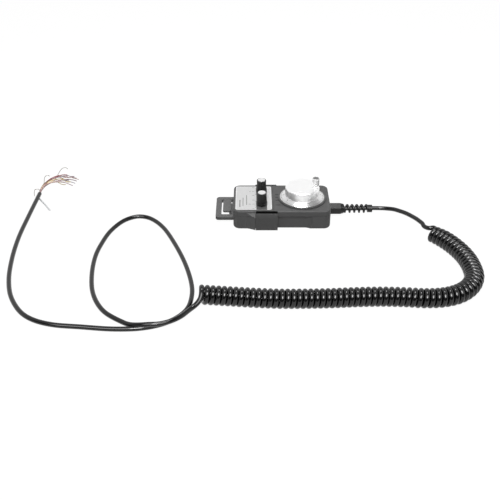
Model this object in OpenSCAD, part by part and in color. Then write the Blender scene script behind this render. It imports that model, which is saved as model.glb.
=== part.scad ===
// Pulse generator handwheel: a hand-held control box for a machine tool. It carries a
// graduated hand wheel, two rotary selectors, a sprung enable button on each side, a
// hanging loop and a curly cable that ends in bare cores.
// Sizes are millimetres. +Z is up out of the panel, +X points to the cable end, and the
// box lies on its back on z = 0.

/* [Case] */
// Length of the case without its hanger
case_l = 130; // [125:1:170]
// Width of the case
case_w = 73; // [72:1:90]
// Height of the case from its back to its panel
case_h = 27.5; // [27:0.5:36]
// Corner radius of the case seen from above
corner_r = 9; // [7:0.5:12]
// Radius of the long edges of the back
back_edge_r = 3; // [1:0.5:3.5]
// Radius of the edge around the panel
panel_edge_r = 1.5; // [1:0.1:2.4]
// Thickness of the case walls
wall = 2.4; // [1.8:0.1:3]
// Height of the parting line above the back
split_z = 20; // [17:0.5:22]
// Thickness of the sealing gasket in the parting line
gasket_t = 0.5; // [0.4:0.1:1]
// Depth of the finger scoops in the sides
scoop_d = 4.5; // [1:0.5:5]
// Length of the finger scoops, from the buttons towards the cable
scoop_l = 46; // [36:1:48]

/* [Label plate] */
// Length of the label plate along the case
label_l = 48.8; // [40:0.2:52]
// Width of the label plate
label_w = 64; // [56:1:66]
// Thickness of the label plate
label_t = 0.8; // [0.6:0.1:1.5]
// Depth of the recess that holds the label plate
label_recess = 0.5; // [0.3:0.1:1]
// Distance from the end of the case to the label plate
label_margin = 2.8; // [2:0.2:5]

/* [Hand wheel] */
// Distance from the cable end of the case to the wheel axis
wheel_inset = 37; // [35:0.5:42]
// Diameter of the graduated dial
dial_d = 60; // [52:1:64]
// Diameter of the knob
knob_d = 46; // [40:1:50]
// Height of the knob's top above the panel
knob_rise = 18.5; // [16:0.5:24]
// Height of the knob's side wall
knob_h = 12.5; // [10:0.5:14]
// Radius of the knob's top edge
knob_edge_r = 3; // [1:0.5:4]
// Width of the fixed ring around the dial
bezel_w = 2.4; // [2:0.2:4]
// Distance from the wheel axis to the finger grip
grip_offset = 17.6; // [14:0.2:18]
// Diameter of the finger grip
grip_d = 9.4; // [8:0.2:9.8]
// Length of the finger grip
grip_l = 11; // [9:0.5:25]
// Diameter of the wheel shaft
shaft_d = 6; // [5:0.5:8]

/* [Rotary selectors] */
// Distance from the hanger end of the case to the selectors
selector_inset = 38; // [34:0.5:40]
// Distance between the two selectors
selector_gap = 35; // [30:0.5:38]
// Height of the selector knobs above the panel
selector_rise = 18.5; // [14:0.5:24]
// Diameter of a selector knob at its top
selector_d = 12.7; // [11:0.1:16]
// Diameter of a selector knob's skirt
selector_skirt_d = 15; // [14.6:0.1:19]
// Diameter of the selector shafts
selector_shaft_d = 6; // [5:0.5:6]

/* [Enable buttons] */
// Length of an enable button along the case
button_l = 29.4; // [20:0.2:34]
// Distance from the hanger end of the case to the middle of the buttons
button_inset = 44.5; // [40:0.5:48]
// How far a button stands out of the side
button_out = 5.2; // [4.6:0.2:6]
// Thickness of a button's face
button_face_t = 2.4; // [2:0.1:2.6]
// How far a button's face laps over the case at both its ends
button_lap = 2.4; // [1:0.2:3]
// How far a button can be pressed
button_travel = 2.2; // [1:0.1:2.2]
// Length of the ramp on the case that leads up to a button
ramp_l = 12; // [8:0.5:16]
// Depth of the pocket that holds a button
pocket_d = 5.5; // [5:0.5:7]

/* [Hanger] */
// How far the hanger stands out of the case
hanger_out = 24; // [18:1:40]
// Width of the hanger
hanger_w = 54.6; // [46:0.2:58]
// Thickness of the hanger
hanger_t = 4.7; // [3:0.1:6]
// Width of the hanger's bars
hanger_bar = 7.4; // [5:0.2:9]
// Height of the hanger's top face above the back
hanger_top = 13.7; // [12:0.1:16]
// Width of the hanger's tongue
tongue_w = 31.6; // [24:0.2:34]

/* [Cable gland] */
// Height of the cable above the back where it leaves the case
gland_z = 11; // [10.8:0.2:12]
// Width across the flats of the gland nut
gland_af = 15; // [14:0.5:16]
// Length of the gland body's hexagon
gland_hex_l = 4.5; // [3:0.5:8]
// Length of the dome nut's hexagon
nut_hex_l = 11.5; // [8:0.5:16]
// Length of the dome nut's cone
nut_cone_l = 4.5; // [3:0.5:8]
// Outer diameter of the spiral strain relief
spiral_d = 12.7; // [11:0.1:14]
// Pitch of the spiral strain relief
spiral_pitch = 6.5; // [5:0.1:8]
// Number of turns in the strain relief
spiral_turns = 5; // [3:1:7]
// Length of the strain relief's end collar
collar_l = 6.3; // [4:0.1:10]
// Diameter of the strain relief's end collar
collar_d = 10.4; // [9:0.1:12]

/* [Cable] */
// Diameter of the cable's jacket
cable_d = 5.8; // [5:0.1:6]
// Outer diameter of the curly stretch
curl_d = 24; // [18:0.5:25]
// Diameter of a bare core
core_d = 1.2; // [0.8:0.1:1.4]

/* [Fits] */
// Running clearance on a shaft's radius
run_gap = 0.03; // [0.02:0.01:0.08]
// Clearance around pieces that drop into place
seat_gap = 0.1; // [0.05:0.05:0.2]
// Clearance around a button in its pocket
slide_gap = 0.35; // [0.25:0.05:0.6]

/* [Hidden] */

$fn = 64;

// Overlap that lets neighbouring bodies of one piece merge
weld = 0.5;

// The box and its hanger are centred on x = 0
case_x0 = hanger_out / 2 - case_l / 2;
case_x1 = case_x0 + case_l;
case_mid = (case_x0 + case_x1) / 2;
floor_z = wall;
ceiling_z = case_h - wall;
wheel_x = case_x1 - wheel_inset;
selector_x = case_x0 + selector_inset;
button_x = case_x0 + button_inset;

// Label plate
label_x0 = case_x0 + label_margin;
label_x = label_x0 + label_l / 2;
label_z = case_h - label_recess;
label_corner_r = 3;

// Enable buttons: each slides in a pocket, and its stem reaches through the pocket's back
pocket_z0 = 1.3;
pocket_z1 = case_h - 1.9;
button_body_l = button_l - 2 * button_lap;
pocket_x = button_body_l + 2 * slide_gap;
pocket_back_t = 1.6;
button_z0 = pocket_z0 + slide_gap;
button_z1 = case_h - 1.4;
button_body_z1 = case_h - 8.5;
button_curve_h = 8;
button_curve_in = 1.4;
stem_z = 9.6;
stem_w = 7;
stem_h = 3.2;
stem_past = 1.2;
catch_t = 0.8;
catch_lip = 0.6;

// Case screws
screw_d = 3;
screw_head_d = 5.6;
screw_head_h = 2;
screw_sink = 0.5;
post_d = 7;
post_inset = 7.6;
post_span = case_w / 2 - post_inset;
screw_l = split_z + 4;

// Hanger: its root reaches into the case and is screwed to two posts
hanger_x0 = case_x0 - hanger_out;
hanger_root = 6.6;
hanger_root_w = 40;
hanger_z0 = hanger_top - hanger_t;
hanger_gap = 2.2;
hanger_groove = 1.2;
tongue_rise = 2.3;
tongue_t = 2;
tongue_jog = 3.6;
hanger_screw_y = 13;
hanger_screw_x = case_x0 + wall + 3.6;
root_t = 3;

// Wheel and encoder heights
panel_z = case_h;
bezel_z1 = panel_z + 0.8;
dial_z0 = bezel_z1 + 0.35;
dial_edge_h = 1.3;
knob_z1 = panel_z + knob_rise;
knob_z0 = knob_z1 - knob_h;
knob_wall = 3;
knob_top_t = 3.4;
hub_d = 14;
dial_rim_t = 1.3;
dial_screw_r = knob_d / 2 - knob_wall / 2;
dial_screw_head_d = 2.9;
dial_screw_angles = [60, 180, 300];
set_screw_z = knob_z0 + 2.5;
grip_boss_d = 9.8;
grip_boss_z = knob_z1 + 0.8;
grip_z0 = grip_boss_z + 0.25;
grip_z1 = grip_z0 + grip_l;
pin_d = 4;
pin_head_d = 6;
pin_head_h = 1.2;
pin_depth = 6;
encoder_r = 25.8;
encoder_wall = 1.6;
flange_r = min(30.5, case_w / 2 - wall - 1.2);
flange_t = 2.5;
cover_z = floor_z + 5.1;
cover_t = 1.5;
bearing_od = shaft_d + 7;
bearing_t = 5;
neck_r = bearing_od / 2 + 2;
upper_bearing_z = panel_z - 5.6;
lower_bearing_z = cover_z + 1;
disc_z = cover_z + 8;
disc_t = 0.8;
disc_r = 21;
disc_slots = 24;
shaft_z0 = cover_z + 0.4;
shaft_z1 = knob_z1 - knob_top_t - 1;
encoder_screw_r = flange_r - 2.3;
encoder_screw_angles = [90, 210, 330];

// Rotary selectors
nut_t = 2.2;
nut_af = 10;
bush_r = selector_shaft_d / 2 + 1;
label_top = label_z + label_t;
nut_z = label_top;
bush_z1 = nut_z + nut_t + 0.3;
knob_base_z = label_top + 0.5;
skirt_z1 = knob_base_z + 3.2;
selector_z1 = panel_z + selector_rise;
switch_r = 8.8;
switch_h = 11;
flutes = 18;
cap_r = selector_d / 2 - 1.3;
cap_t = 1.6;
// Where the pointers stand, as angles from +X: off, and the finest step
axis_pointer = 270;
range_pointer = 225;

// Boards
board_x0 = case_x0 + 14;
board_x1 = wheel_x - encoder_r - 4;
board_w = case_w - 2 * wall - 12;
board_z = floor_z + 2.6;
board_t = 1.6;
board_top = board_z + board_t;
board_post_d = 5;
board_post_y = 9;
board_post_x = [board_x0 + 4, board_x1 - 4];

// Cable gland
gland_thread_r = 6.2;
locknut_t = 3;
seal_l = 5;
nut_x0 = case_x1 + gland_hex_l;
cone_x0 = nut_x0 + nut_hex_l;
spiral_x0 = cone_x0 + nut_cone_l;
spiral_x1 = spiral_x0 + spiral_turns * spiral_pitch;
collar_x1 = spiral_x1 + collar_l;
cable_hole_r = cable_d / 2 + seat_gap;
rib_half_w = 1.45;
rib_inner_r = cable_hole_r + 0.5;
rib_root = 0.8;
rib_sides = 8;
rib_steps = 18;

// Free cable: the route's points are chosen by hand, from the gland to the bare cores
lead_route = [[case_x1 - 9, 0, gland_z], [case_x1 + 30, 0, gland_z], [138, 0, gland_z],
    [149, 1, 11], [160, 0, 10.6], [171, -4, 10.2], [182, -11, 10.2], [190, -22, 11],
    [196, -37, 13], [202, -52, 15], [208, -67, 16.5]];
curl_route = [[206, -65, 12], [213, -73, 12], [221, -84, 12], [229, -99, 12], [236, -119, 12],
    [239, -141, 12], [237, -165, 12], [227, -184, 12], [212, -197, 12], [194, -204, 12],
    [172, -206, 12], [148, -204, 12], [120, -203, 12], [92, -204, 12], [62, -206, 12],
    [32, -207, 12], [2, -207, 12], [-28, -205, 12], [-58, -202, 12], [-88, -199, 12]];
tail_route = [[-86, -202, 14.5], [-91, -209, 10.5], [-100, -224, 8.4], [-108, -235, 8.6],
    [-119, -244, 8.8], [-131, -249, 8.9], [-143, -250, 8.9], [-156, -248, 6.5],
    [-166, -244, 4.2], [-175, -238, 3], [-195, -222, 3], [-207, -205, 3], [-217, -181, 3],
    [-224, -144, 3], [-226, -105, 3], [-223, -77, 3], [-216, -46, 3], [-204, -22, 3],
    [-195, -13, 3], [-184, -8, 3], [-172, -10, 3], [-160, -19, 3], [-146, -38, 3],
    [-128, -77, 3], [-111, -124, 3], [-101, -165, 3], [-99, -187, 3], [-102, -212, 3],
    [-111, -228, 3], [-127, -241, 3], [-150, -249, 3], [-180, -251, 3], [-220, -247, 3],
    [-252, -243, 3], [-274, -235, 3], [-291, -222, 3], [-310, -193, 3], [-322, -158, 3],
    [-330, -112, 3], [-334, -62, 3], [-334, -5, 3], [-333, 56, 3]];
cable_end = tail_route[len(tail_route) - 1];

// Bare cores: they leave the jacket as one bundle, then each fans out to its own tip
core_bundle = [[-333, 53], [-334, 70], [-331, 86], [-322, 98], [-309, 103]];
core_fan = [0, 0.06, 0.16, 0.36, 0.75];
core_middle = [-294, 98];
core_tips = [[-288, 98], [-294, 113], [-291, 84], [-299, 109], [-286, 103], [-296, 95],
    [-298, 89], [-302, 87], [-290, 107], [-304, 112], [-289, 91], [-300, 101]];
core_z = 0.8;
core_bundle_z = 2.8;
shield_routes = [
    [[-333, 53], [-335, 64], [-339, 73], [-344, 72], [-343, 62], [-340, 53]],
    [[-333, 80], [-336, 97], [-338, 111], [-336, 116], [-331, 114]],
    [[-321, 99], [-320, 118], [-318, 137], [-314, 142], [-309, 137]],
    [[-331, 44], [-325, 35], [-318, 25], [-309, 11]]];

// ---- Shared forms ----

// Rectangle with round corners, centred on the origin
module rounded_rect(l, w, r) {
    square([l, w - 2 * r], center = true);
    square([l - 2 * r, w], center = true);
    for (sx = [-1, 1], sy = [-1, 1])
        translate([sx * (l / 2 - r), sy * (w / 2 - r)]) circle(r);
}

module rounded_plate(l, w, r, h) {
    linear_extrude(h) rounded_rect(l, w, r);
}

// Half section through a block's edge: x runs out to the side, y runs up
module edge_section(depth, h, low_r, top_r) {
    translate([0, low_r]) square([depth, h - low_r - top_r]);
    square([depth - low_r, h / 2]);
    translate([0, h / 2]) square([depth - top_r, h / 2]);
    translate([depth - low_r, low_r]) circle(low_r);
    translate([depth - top_r, h - top_r]) circle(top_r);
}

// Block with round corners and rolled edges, made by carrying its edge section around it
module rolled_block(l, w, h, r, low_r, top_r) {
    inner_l = l - 2 * r;
    inner_w = w - 2 * r;
    translate([-inner_l / 2, -inner_w / 2, 0]) cube([inner_l, inner_w, h]);
    for (turn = [0, 180]) rotate([0, 0, turn]) {
        translate([-inner_l / 2, inner_w / 2, 0]) rotate([90, 0, 90])
            linear_extrude(inner_l) edge_section(r, h, low_r, top_r);
        translate([inner_l / 2, inner_w / 2, 0]) rotate([90, 0, 0])
            linear_extrude(inner_w) edge_section(r, h, low_r, top_r);
        translate([inner_l / 2, inner_w / 2, 0])
            rotate_extrude(angle = 90) edge_section(r, h, low_r, top_r);
        translate([-inner_l / 2, inner_w / 2, 0]) rotate([0, 0, 90])
            rotate_extrude(angle = 90) edge_section(r, h, low_r, top_r);
    }
}

module tube(outer_r, inner_r, h) {
    difference() {
        cylinder(h = h, r = outer_r);
        translate([0, 0, -1]) cylinder(h = h + 2, r = inner_r);
    }
}

// Hexagon by its width across the flats, with two flats facing up and down once it is turned
module hex(af, h) {
    linear_extrude(h) circle(r = af / sqrt(3), $fn = 6);
}

// Cap screw that points up from its head
module screw_up(d, head_d, head_h, l) {
    cylinder(h = head_h + l, d = d);
    cylinder(h = head_h, d = head_d);
}

// ---- Cables ----

function unit(v) = v / norm(v);

// Smooth curve through the points, with extra points between neighbours
function along(p, i, t) =
    let (a = p[max(i - 1, 0)], b = p[i], c = p[i + 1], d = p[min(i + 2, len(p) - 1)])
    0.5 * (2 * b + (c - a) * t + (2 * a - 5 * b + 4 * c - d) * t * t
        + (3 * b - a - 3 * c + d) * t * t * t);
function smooth(p, parts) = concat(
    [for (i = [0 : len(p) - 2], k = [0 : parts - 1]) along(p, i, k / parts)],
    [p[len(p) - 1]]);

function heading(p, i) = unit(p[min(i + 1, len(p) - 1)] - p[max(i - 1, 0)]);

function ring(p, i, r, sides) =
    let (t = heading(p, i), s = unit(cross([0, 0, 1], t)), u = cross(t, s))
    [for (k = [0 : sides - 1]) p[i] + r * (cos(360 * k / sides) * s + sin(360 * k / sides) * u)];

// Faces of a tube made of rings of points, with both ends closed
function tube_faces(rings, sides) = concat(
    [[for (k = [0 : sides - 1]) k]],
    [for (i = [0 : rings - 2], k = [0 : sides - 1])
        let (a = i * sides + k, b = i * sides + (k + 1) % sides)
        [b, a, a + sides]],
    [for (i = [0 : rings - 2], k = [0 : sides - 1])
        let (a = i * sides + k, b = i * sides + (k + 1) % sides)
        [b, a + sides, b + sides]],
    [[for (k = [sides - 1 : -1 : 0]) (rings - 1) * sides + k]]);

module swept_tube(p, r, sides) {
    polyhedron([for (i = [0 : len(p) - 1]) each ring(p, i, r, sides)],
        tube_faces(len(p), sides), convexity = 10);
}

// ---- Case ----

module pocket_cut(grow_back) {
    depth = pocket_d + grow_back;
    grow = grow_back;
    translate([button_x - pocket_x / 2 - grow, case_w / 2 - depth, pocket_z0 - grow])
        cube([pocket_x + 2 * grow, depth + 10, pocket_z1 - pocket_z0 + 2 * grow]);
}

module both_sides() {
    children();
    mirror([0, 1, 0]) children();
}

// Waist for the fingers: it starts beside a button, runs out in an arc and stays below the
// parting line. A larger one keeps the wall behind it
module scoop_cut(grow) {
    run_out = scoop_l / 4.5;
    turn_r = (run_out * run_out + scoop_d * scoop_d) / (2 * scoop_d);
    roof_z = split_z - gasket_t / 2 - 0.4;
    x0 = button_x + button_l / 2;
    flat = scoop_l - run_out;
    side = case_w / 2;
    intersection() {
        translate([x0, side, -2]) linear_extrude(roof_z + grow + 2) {
            translate([-grow, -scoop_d - grow]) square([flat + grow, scoop_d + grow + 1]);
            intersection() {
                translate([flat - 0.1, -scoop_d - grow]) square([2 * run_out, scoop_d + grow + 1]);
                translate([flat, turn_r - scoop_d]) circle(turn_r + grow);
            }
        }
        translate([x0 - 5, 0, 0]) rotate([90, 0, 90]) linear_extrude(scoop_l + 15) polygon([
            [side + 2, -1], [side + 2, roof_z + grow], [side, roof_z + grow],
            [side - scoop_d - grow, roof_z + grow - scoop_d], [side - scoop_d - grow, 1.2],
            [side - scoop_d - grow - 2.2, -1]]);
    }
}

// Ramp on the side that leads up to a button, with a slanted top
module button_ramp() {
    x1 = button_x - button_l / 2 - slide_gap;
    side = case_w / 2;
    difference() {
        translate([0, 0, button_z0]) linear_extrude(pocket_z1 - button_z0) polygon([
            [x1 - ramp_l, side - 1], [x1 - ramp_l, side], [x1 - 0.6 * ramp_l, side + 0.3 * button_out],
            [x1, side + button_out - 0.3], [x1, side - 1]]);
        translate([x1 - ramp_l - 1, side, pocket_z1 - 0.4]) rotate([-50, 0, 0])
            cube([ramp_l + 2, 20, 20]);
    }
}

module case_posts() {
    for (x = [case_x0 + post_inset, case_x1 - post_inset], sy = [-1, 1])
        translate([x, sy * post_span, 0]) children();
}

module case_body() {
    difference() {
        union() {
            translate([case_mid, 0, 0])
                rolled_block(case_l, case_w, case_h, corner_r, back_edge_r, panel_edge_r);
            both_sides() button_ramp();
        }
        // hollow, except around the button pockets and behind the scoops
        difference() {
            translate([case_mid, 0, floor_z])
                rounded_plate(case_l - 2 * wall, case_w - 2 * wall, corner_r - wall, ceiling_z - floor_z);
            both_sides() {
                pocket_cut(pocket_back_t);
                scoop_cut(wall);
            }
            case_posts() cylinder(h = case_h, d = post_d);
            for (x = board_post_x, sy = [-1, 1])
                translate([x, sy * board_post_y, 0]) cylinder(h = board_z, d = board_post_d);
            for (sy = [-1, 1]) translate([hanger_screw_x, sy * hanger_screw_y, 0])
                cylinder(h = hanger_z0, d = post_d);
        }
        both_sides() {
            pocket_cut(0);
            scoop_cut(0);
            // way through for the button's stem
            translate([button_x - stem_w / 2 - slide_gap, case_w / 2 - pocket_d - 3, stem_z - stem_h / 2 - slide_gap])
                cube([stem_w + 2 * slide_gap, 4, stem_h + 2 * slide_gap]);
        }
        // label recess and the step between the label and the wheel
        translate([label_x, 0, label_z])
            rounded_plate(label_l + 2 * seat_gap, label_w + 2 * seat_gap, label_corner_r + seat_gap, 5);
        translate([label_x0 + label_l + 1.6, -case_w / 2 - 1, case_h - 0.5]) cube([0.8, case_w + 2, 2]);
        // wheel neck and its fixing holes
        translate([wheel_x, 0, ceiling_z - 1]) cylinder(h = 10, r = neck_r + 0.3);
        for (a = encoder_screw_angles) rotate_about_wheel(a)
            translate([encoder_screw_r, 0, ceiling_z - 0.1]) cylinder(h = 1.9, d = 2 + 2 * run_gap);
        // selector bushes
        for (sy = [-1, 1]) translate([selector_x, sy * selector_gap / 2, ceiling_z - 1])
            cylinder(h = 10, r = bush_r + 0.2);
        // case screws from the back
        case_posts() {
            translate([0, 0, -1]) cylinder(h = screw_sink + screw_head_h + 1, d = screw_head_d + 0.4);
            cylinder(h = screw_l + 0.6, d = screw_d + 2 * run_gap);
        }
        for (x = board_post_x, sy = [-1, 1]) translate([x, sy * board_post_y, floor_z])
            cylinder(h = board_z, d = 2 + 2 * run_gap);
        for (sy = [-1, 1]) translate([hanger_screw_x, sy * hanger_screw_y, floor_z])
            cylinder(h = hanger_z0, d = screw_d + 2 * run_gap);
        // slot for the hanger's root and hole for the gland
        translate([case_x0 - 1, -hanger_root_w / 2 - seat_gap, hanger_z0 - seat_gap])
            cube([wall + 2, hanger_root_w + 2 * seat_gap, root_t + 2 * seat_gap]);
        translate([case_x1 - wall - 1, 0, gland_z]) rotate([0, 90, 0])
            cylinder(h = wall + 2, r = gland_thread_r + run_gap);
    }
}

module slab(z0, z1) {
    translate([case_x0 - 20, -case_w, z0]) cube([case_l + 40, 2 * case_w, z1 - z0]);
}

module rear_shell() {
    color("dimgray") intersection() {
        case_body();
        slab(-1, split_z - gasket_t / 2);
    }
}

module front_shell() {
    color("dimgray") intersection() {
        case_body();
        slab(split_z + gasket_t / 2, case_h + 1);
    }
}

// The gasket follows the walls, a little back from the outside
module shell_gasket() {
    inset = 0.25;
    color("black") difference() {
        intersection() {
            case_body();
            translate([case_mid, 0, split_z - gasket_t / 2])
                rounded_plate(case_l - 2 * inset, case_w - 2 * inset, corner_r - inset, gasket_t);
        }
        case_posts() cylinder(h = case_h, d = post_d + 0.2);
    }
}

module case_screws() {
    color("silver") case_posts() translate([0, 0, screw_sink])
        screw_up(screw_d, screw_head_d, screw_head_h, screw_l - screw_sink - screw_head_h);
}

module label_plate() {
    color("lightgray") difference() {
        translate([label_x, 0, label_z]) rounded_plate(label_l, label_w, label_corner_r, label_t);
        for (sy = [-1, 1]) translate([selector_x, sy * selector_gap / 2, label_z - 1])
            cylinder(h = label_t + 2, r = bush_r + 0.2);
    }
}

// ---- Hanger ----

module hanger_loop() {
    inner_l = hanger_out - hanger_bar;
    inner_w = hanger_w - 2 * hanger_bar;
    tongue_x0 = hanger_x0 + hanger_bar + hanger_gap;
    color("dimgray") difference() {
        union() {
            // frame, with a shallow groove around its edge
            difference() {
                translate([hanger_x0 + hanger_out / 2 + 4, 0, hanger_z0])
                    rounded_plate(hanger_out + 8, hanger_w, 4.5, hanger_t);
                translate([case_x0, -hanger_w, hanger_z0 - 1]) cube([20, 2 * hanger_w, hanger_t + 2]);
                translate([hanger_x0 + hanger_bar + inner_l / 2 + 4, 0, hanger_z0 - 1])
                    rounded_plate(inner_l + 8, inner_w, 2, hanger_t + 2);
                difference() {
                    translate([hanger_x0 - 5, -hanger_w / 2 - 5, hanger_z0 + hanger_t * 0.4])
                        cube([hanger_out + 5, hanger_w + 10, 0.9]);
                    translate([hanger_x0 + hanger_out / 2 + 4, 0, hanger_z0])
                        rounded_plate(hanger_out + 8 - 2 * hanger_groove, hanger_w - 2 * hanger_groove,
                            4.5 - hanger_groove, hanger_t);
                }
            }
            // tongue, raised above the frame, with its step down at the root
            translate([tongue_x0 + (case_x0 - tongue_jog - tongue_x0) / 2, 0, hanger_top + tongue_rise - tongue_t])
                rounded_plate(case_x0 - tongue_jog - tongue_x0, tongue_w, 3, tongue_t);
            translate([case_x0 - tongue_jog - 2.4, -tongue_w / 2 + 3, hanger_z0])
                cube([tongue_jog + 2.4, tongue_w - 6, root_t]);
            translate([case_x0 - tongue_jog - 2.4, -tongue_w / 2 + 3, hanger_z0])
                cube([2, tongue_w - 6, hanger_top + tongue_rise - tongue_t / 2 - hanger_z0]);
            // root inside the case
            translate([case_x0 - 2, -hanger_root_w / 2, hanger_z0])
                cube([2 + wall + hanger_root, hanger_root_w, root_t]);
            translate([case_x0 - 2, -hanger_w / 2 + 1, hanger_z0])
                cube([2, hanger_w - 2, root_t]);
        }
        for (sy = [-1, 1]) translate([hanger_screw_x, sy * hanger_screw_y, hanger_z0 - 1])
            cylinder(h = root_t + 2, d = screw_d + 0.4);
    }
}

module hanger_screws() {
    color("silver") for (sy = [-1, 1])
        translate([hanger_screw_x, sy * hanger_screw_y, hanger_z0 + root_t + 2])
            mirror([0, 0, 1]) screw_up(screw_d, screw_head_d, 2, 7);
}

// ---- Cable gland ----

module along_cable(x) {
    translate([x, 0, gland_z]) rotate([0, 90, 0]) children();
}

module gland_body() {
    color("black") difference() {
        union() {
            along_cable(case_x1) hex(gland_af, gland_hex_l);
            along_cable(case_x1 - wall - locknut_t - 1) cylinder(h = wall + locknut_t + 2, r = gland_thread_r);
            along_cable(nut_x0 - weld) cylinder(h = seal_l + 1.5, r = gland_thread_r - 0.6);
        }
        along_cable(case_x1 - 20) cylinder(h = 60, r = cable_hole_r);
        along_cable(nut_x0 + 1.5) cylinder(h = 10, r = gland_thread_r - 1.9);
    }
}

module gland_locknut() {
    color("black") difference() {
        along_cable(case_x1 - wall - locknut_t) hex(gland_af, locknut_t);
        along_cable(case_x1 - wall - locknut_t - 1) cylinder(h = locknut_t + 2, r = gland_thread_r + run_gap);
    }
}

// Rubber ring that the dome nut squeezes onto the cable
module gland_seal() {
    color("gray") difference() {
        along_cable(nut_x0 + 1.5) cylinder(h = seal_l, r = gland_thread_r - 1.9 - run_gap);
        along_cable(nut_x0) cylinder(h = 20, r = cable_hole_r);
    }
}

// Outline of the rib's section after some turns: it runs right-handed towards +X
function rib_ring(turns) =
    let (a = -360 * turns, x = spiral_x0 - rib_root + turns * spiral_pitch,
        mid_r = (spiral_d / 2 + rib_inner_r) / 2, half_r = (spiral_d / 2 - rib_inner_r) / 2)
    [for (k = [0 : rib_sides - 1])
        let (s = 360 * (k + 0.5) / rib_sides, r = mid_r + half_r * sin(s), dx = rib_half_w * cos(s))
        [x + dx, r * sin(a), gland_z + r * cos(a)]];

// Open helix that lets the cable bend but not kink. Its ends run into the cone and the collar
module spiral_rib() {
    rings = floor((spiral_turns + 2 * rib_root / spiral_pitch) * rib_steps) + 1;
    polyhedron([for (i = [0 : rings - 1]) each rib_ring(i / rib_steps)],
        tube_faces(rings, rib_sides), convexity = 10);
}

module gland_nut() {
    color("black") {
        difference() {
            union() {
                along_cable(nut_x0 + seat_gap) hex(gland_af, nut_hex_l - seat_gap);
                along_cable(cone_x0) cylinder(h = nut_cone_l, r1 = gland_af / 2, r2 = spiral_d / 2);
            }
            along_cable(nut_x0 - 1) cylinder(h = seal_l + 2.6, r = gland_thread_r - 0.6 + run_gap);
            along_cable(nut_x0) cylinder(h = 60, r = cable_hole_r);
        }
        difference() {
            along_cable(spiral_x1) cylinder(h = collar_l, d = collar_d);
            along_cable(spiral_x1 - 1) cylinder(h = collar_l + 2, r = cable_hole_r);
        }
        spiral_rib();
    }
}

// ---- Wheel ----

module rotate_about_wheel(a) {
    translate([wheel_x, 0, 0]) rotate([0, 0, a]) children();
}

module on_wheel(z) {
    translate([wheel_x, 0, z]) children();
}

// Fixed ring around the dial
module bezel_ring() {
    rim_in = dial_d / 2 + 0.5;
    rim_out = dial_d / 2 + bezel_w;
    color("black") on_wheel(panel_z) rotate_extrude() {
        translate([neck_r + 0.3, 0]) square([rim_out - neck_r - 0.3, bezel_z1 - panel_z]);
        translate([rim_in, 0]) square([rim_out - rim_in - 0.6, bezel_z1 - panel_z + 1.2]);
        translate([rim_in, 0]) square([rim_out - rim_in, bezel_z1 - panel_z + 0.6]);
    }
}

module encoder_housing() {
    color("dimgray") difference() {
        union() {
            on_wheel(ceiling_z - flange_t) cylinder(h = flange_t, r = flange_r);
            on_wheel(cover_z + cover_t) cylinder(h = ceiling_z - cover_z - cover_t - 1, r = encoder_r);
            on_wheel(upper_bearing_z - 2) cylinder(h = panel_z - upper_bearing_z + 1.9, r = neck_r);
        }
        difference() {
            on_wheel(cover_z) cylinder(h = ceiling_z - flange_t - cover_z, r = encoder_r - encoder_wall);
            on_wheel(upper_bearing_z - 2) cylinder(h = 10, r = neck_r);
        }
        on_wheel(upper_bearing_z) cylinder(h = 20, r = bearing_od / 2 + 0.02);
        on_wheel(cover_z) cylinder(h = 30, r = shaft_d / 2 + 1.4);
        for (a = encoder_screw_angles) rotate_about_wheel(a)
            translate([encoder_screw_r, 0, ceiling_z - flange_t - 1]) cylinder(h = flange_t + 2, d = 2.2);
    }
}

module encoder_cover() {
    color("dimgray") difference() {
        union() {
            on_wheel(cover_z) cylinder(h = cover_t, r = encoder_r);
            on_wheel(cover_z) cylinder(h = cover_t + 1.2, r = encoder_r - encoder_wall - 0.05);
            on_wheel(cover_z) cylinder(h = lower_bearing_z - cover_z + bearing_t, r = neck_r);
        }
        on_wheel(lower_bearing_z) cylinder(h = 20, r = bearing_od / 2 + 0.02);
        on_wheel(cover_z - 1) cylinder(h = 10, r = shaft_d / 2 + 0.5);
    }
}

module encoder_screws() {
    color("silver") for (a = encoder_screw_angles) rotate_about_wheel(a)
        translate([encoder_screw_r, 0, ceiling_z - flange_t - 1.4])
            screw_up(2, 3.8, 1.4, flange_t + 1.7);
}

module bearing(z) {
    groove = 0.25;
    color("silver") on_wheel(z) difference() {
        tube(bearing_od / 2, shaft_d / 2 + run_gap, bearing_t);
        for (h = [-1, bearing_t - groove]) translate([0, 0, h])
            tube(bearing_od / 2 - 1, shaft_d / 2 + 1, 1 + groove);
    }
}

module upper_bearing() {
    bearing(upper_bearing_z);
}

module lower_bearing() {
    bearing(lower_bearing_z);
}

// Half ring of circuit board under the disc
module encoder_board() {
    color("green") difference() {
        on_wheel(cover_z + cover_t + 1.2) tube(encoder_r - encoder_wall - 0.4, neck_r + 0.3, board_t);
        on_wheel(0) translate([0, -50, 0]) cube([50, 100, 60]);
    }
}

// Fork with the light gate: the disc's slots pass through it
module encoder_reader() {
    base = cover_z + cover_t + 1.2 + board_t;
    color("black") difference() {
        translate([wheel_x - disc_r - 2.4, -4, base]) cube([8, 8, disc_z + disc_t + 3 - base]);
        translate([wheel_x - disc_r - 1, -5, disc_z - 0.8]) cube([8, 10, disc_t + 1.6]);
    }
}

module wheel_shaft() {
    color("silver") {
        on_wheel(shaft_z0) cylinder(h = shaft_z1 - shaft_z0, d = shaft_d);
        on_wheel(lower_bearing_z + bearing_t + 0.1) cylinder(h = 0.7, d = shaft_d + 2);
    }
}

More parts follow.
